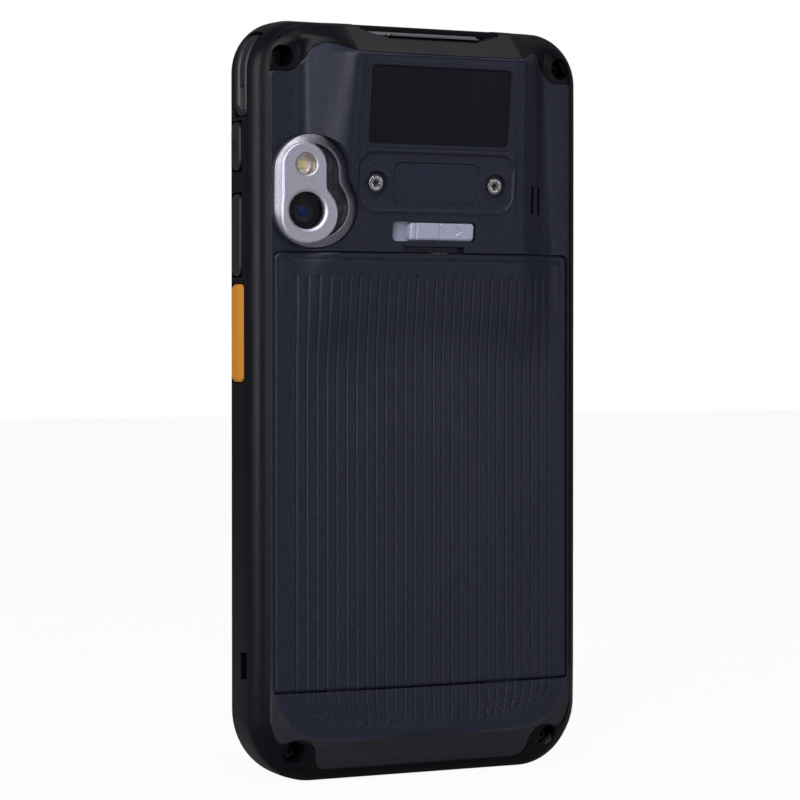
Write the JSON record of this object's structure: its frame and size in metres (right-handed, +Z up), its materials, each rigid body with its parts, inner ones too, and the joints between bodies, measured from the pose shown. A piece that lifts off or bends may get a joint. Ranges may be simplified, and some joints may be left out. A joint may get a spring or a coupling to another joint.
{
  "type": "portable barcode data terminal",
  "caption": "Hand-held touch terminal with a top scan window, side scan keys, a rear camera and a latched battery door.",
  "frame": {"origin": "middle of the bottom of the bounding box", "axes": "+Z up the long side to the scan window, +Y out of the screen, +X to the right as seen from the back"},
  "size_m": [0.078, 0.022, 0.157],
  "materials": {
    "frame_black": "smooth satin black moulding",
    "housing_grey": "fine-grained dark blue-grey moulding",
    "orange_key": "satin orange",
    "key_black": "satin black",
    "rubber_black": "matte rubber",
    "seal_rubber": "matte silicone",
    "glass_front": "polished cover glass",
    "panel": "display stack",
    "mesh_metal": "woven mesh",
    "module_black": "moulded module",
    "chassis_metal": "cast, matt",
    "board_green": "solder mask",
    "shield_steel": "tinned sheet",
    "contact_black": "moulded insulator",
    "steel": "bright",
    "screw_black": "blackened steel",
    "brass": "knurled brass",
    "battery_wrap": "wrapped pack",
    "slider_silver": "silver paint",
    "bezel_metal": "anodised, machined",
    "lens_glass": "coated glass",
    "flash_plastic": "moulded lens",
    "plate_dark": "satin film plate",
    "window_dark": "satin plate",
    "scan_glass": "dark red filter glass"
  },
  "bodies": {
    "case": {"side_frame": "frame_black", "rear_housing": "housing_grey", "cover_glass": "glass_front", "display_panel": "panel", "earpiece_mesh": "mesh_metal", "earpiece_module": "module_black", "front_camera": "module_black", "chassis_plate": "chassis_metal", "mainboard": "board_green", "processor_shield": "shield_steel", "radio_shield": "shield_steel", "lower_board": "board_green", "microphone": "shield_steel", "vibration_motor": "steel", "battery_contacts": "contact_black", "card_socket": "shield_steel", "data_socket": "steel", "socket_tongue": "contact_black", "speaker_module": "module_black", "speaker_mesh": "mesh_metal", "key_board_left": "board_green", "key_board_right": "board_green", "key_domes": "steel", "battery": "battery_wrap", "camera_bezel": "bezel_metal", "camera_island": "bezel_metal", "camera_window": "lens_glass", "camera_barrel": "module_black", "camera_module": "module_black", "flash_lens": "flash_plastic", "flash_lamp": "flash_plastic", "label_plate": "plate_dark", "contact_window": "window_dark", "accessory_screws": "steel", "latch_bed": "steel", "case_screws": "screw_black", "screw_inserts": "brass", "scan_window": "scan_glass", "scan_engine": "module_black"},
    "door": {"battery_door": "housing_grey", "door_seal": "seal_rubber"},
    "latch": {"latch_slider": "slider_silver", "latch_bolt": "steel"},
    "flap": {"port_cover": "rubber_black"},
    "power_button": {"power_key": "key_black"},
    "volume_button": {"volume_rocker": "key_black"},
    "left_scan_button": {"scan_key_left": "orange_key"},
    "right_scan_button": {"scan_key_right": "orange_key"}
  },
  "joints": [
    {"name": "door_hinge", "type": "hinge", "parent": "case", "child": "door", "pos_m": [0, -0.0044, 0.0191], "axis": [1, 0, 0], "range_deg": [0, 65]},
    {"name": "latch_slide", "type": "slide", "parent": "case", "child": "latch", "axis": [-1, 0, 0], "range_m": [0, 0.0034]},
    {"name": "flap_hinge", "type": "hinge", "parent": "case", "child": "flap", "pos_m": [-0.03528, 0.0053, 0.15378], "axis": [0, 1, 0], "range_deg": [0, 80]},
    {"name": "power_press", "type": "slide", "parent": "case", "child": "power_button", "axis": [1, 0, 0], "range_m": [0, 0.0003], "stiffness_N_per_m": 2000, "springref_m": -0.0002},
    {"name": "volume_rock", "type": "hinge", "parent": "case", "child": "volume_button", "pos_m": [-0.0355, 0.007, 0.11265], "axis": [0, 1, 0], "range_deg": [-1.3, 1.3], "stiffness_Nm_per_rad": 0.4},
    {"name": "left_scan_press", "type": "slide", "parent": "case", "child": "left_scan_button", "axis": [1, 0, 0], "range_m": [0, 0.0003], "stiffness_N_per_m": 2000, "springref_m": -0.0002},
    {"name": "right_scan_press", "type": "slide", "parent": "case", "child": "right_scan_button", "axis": [-1, 0, 0], "range_m": [0, 0.0003], "stiffness_N_per_m": 2000, "springref_m": -0.0002}
  ]
}
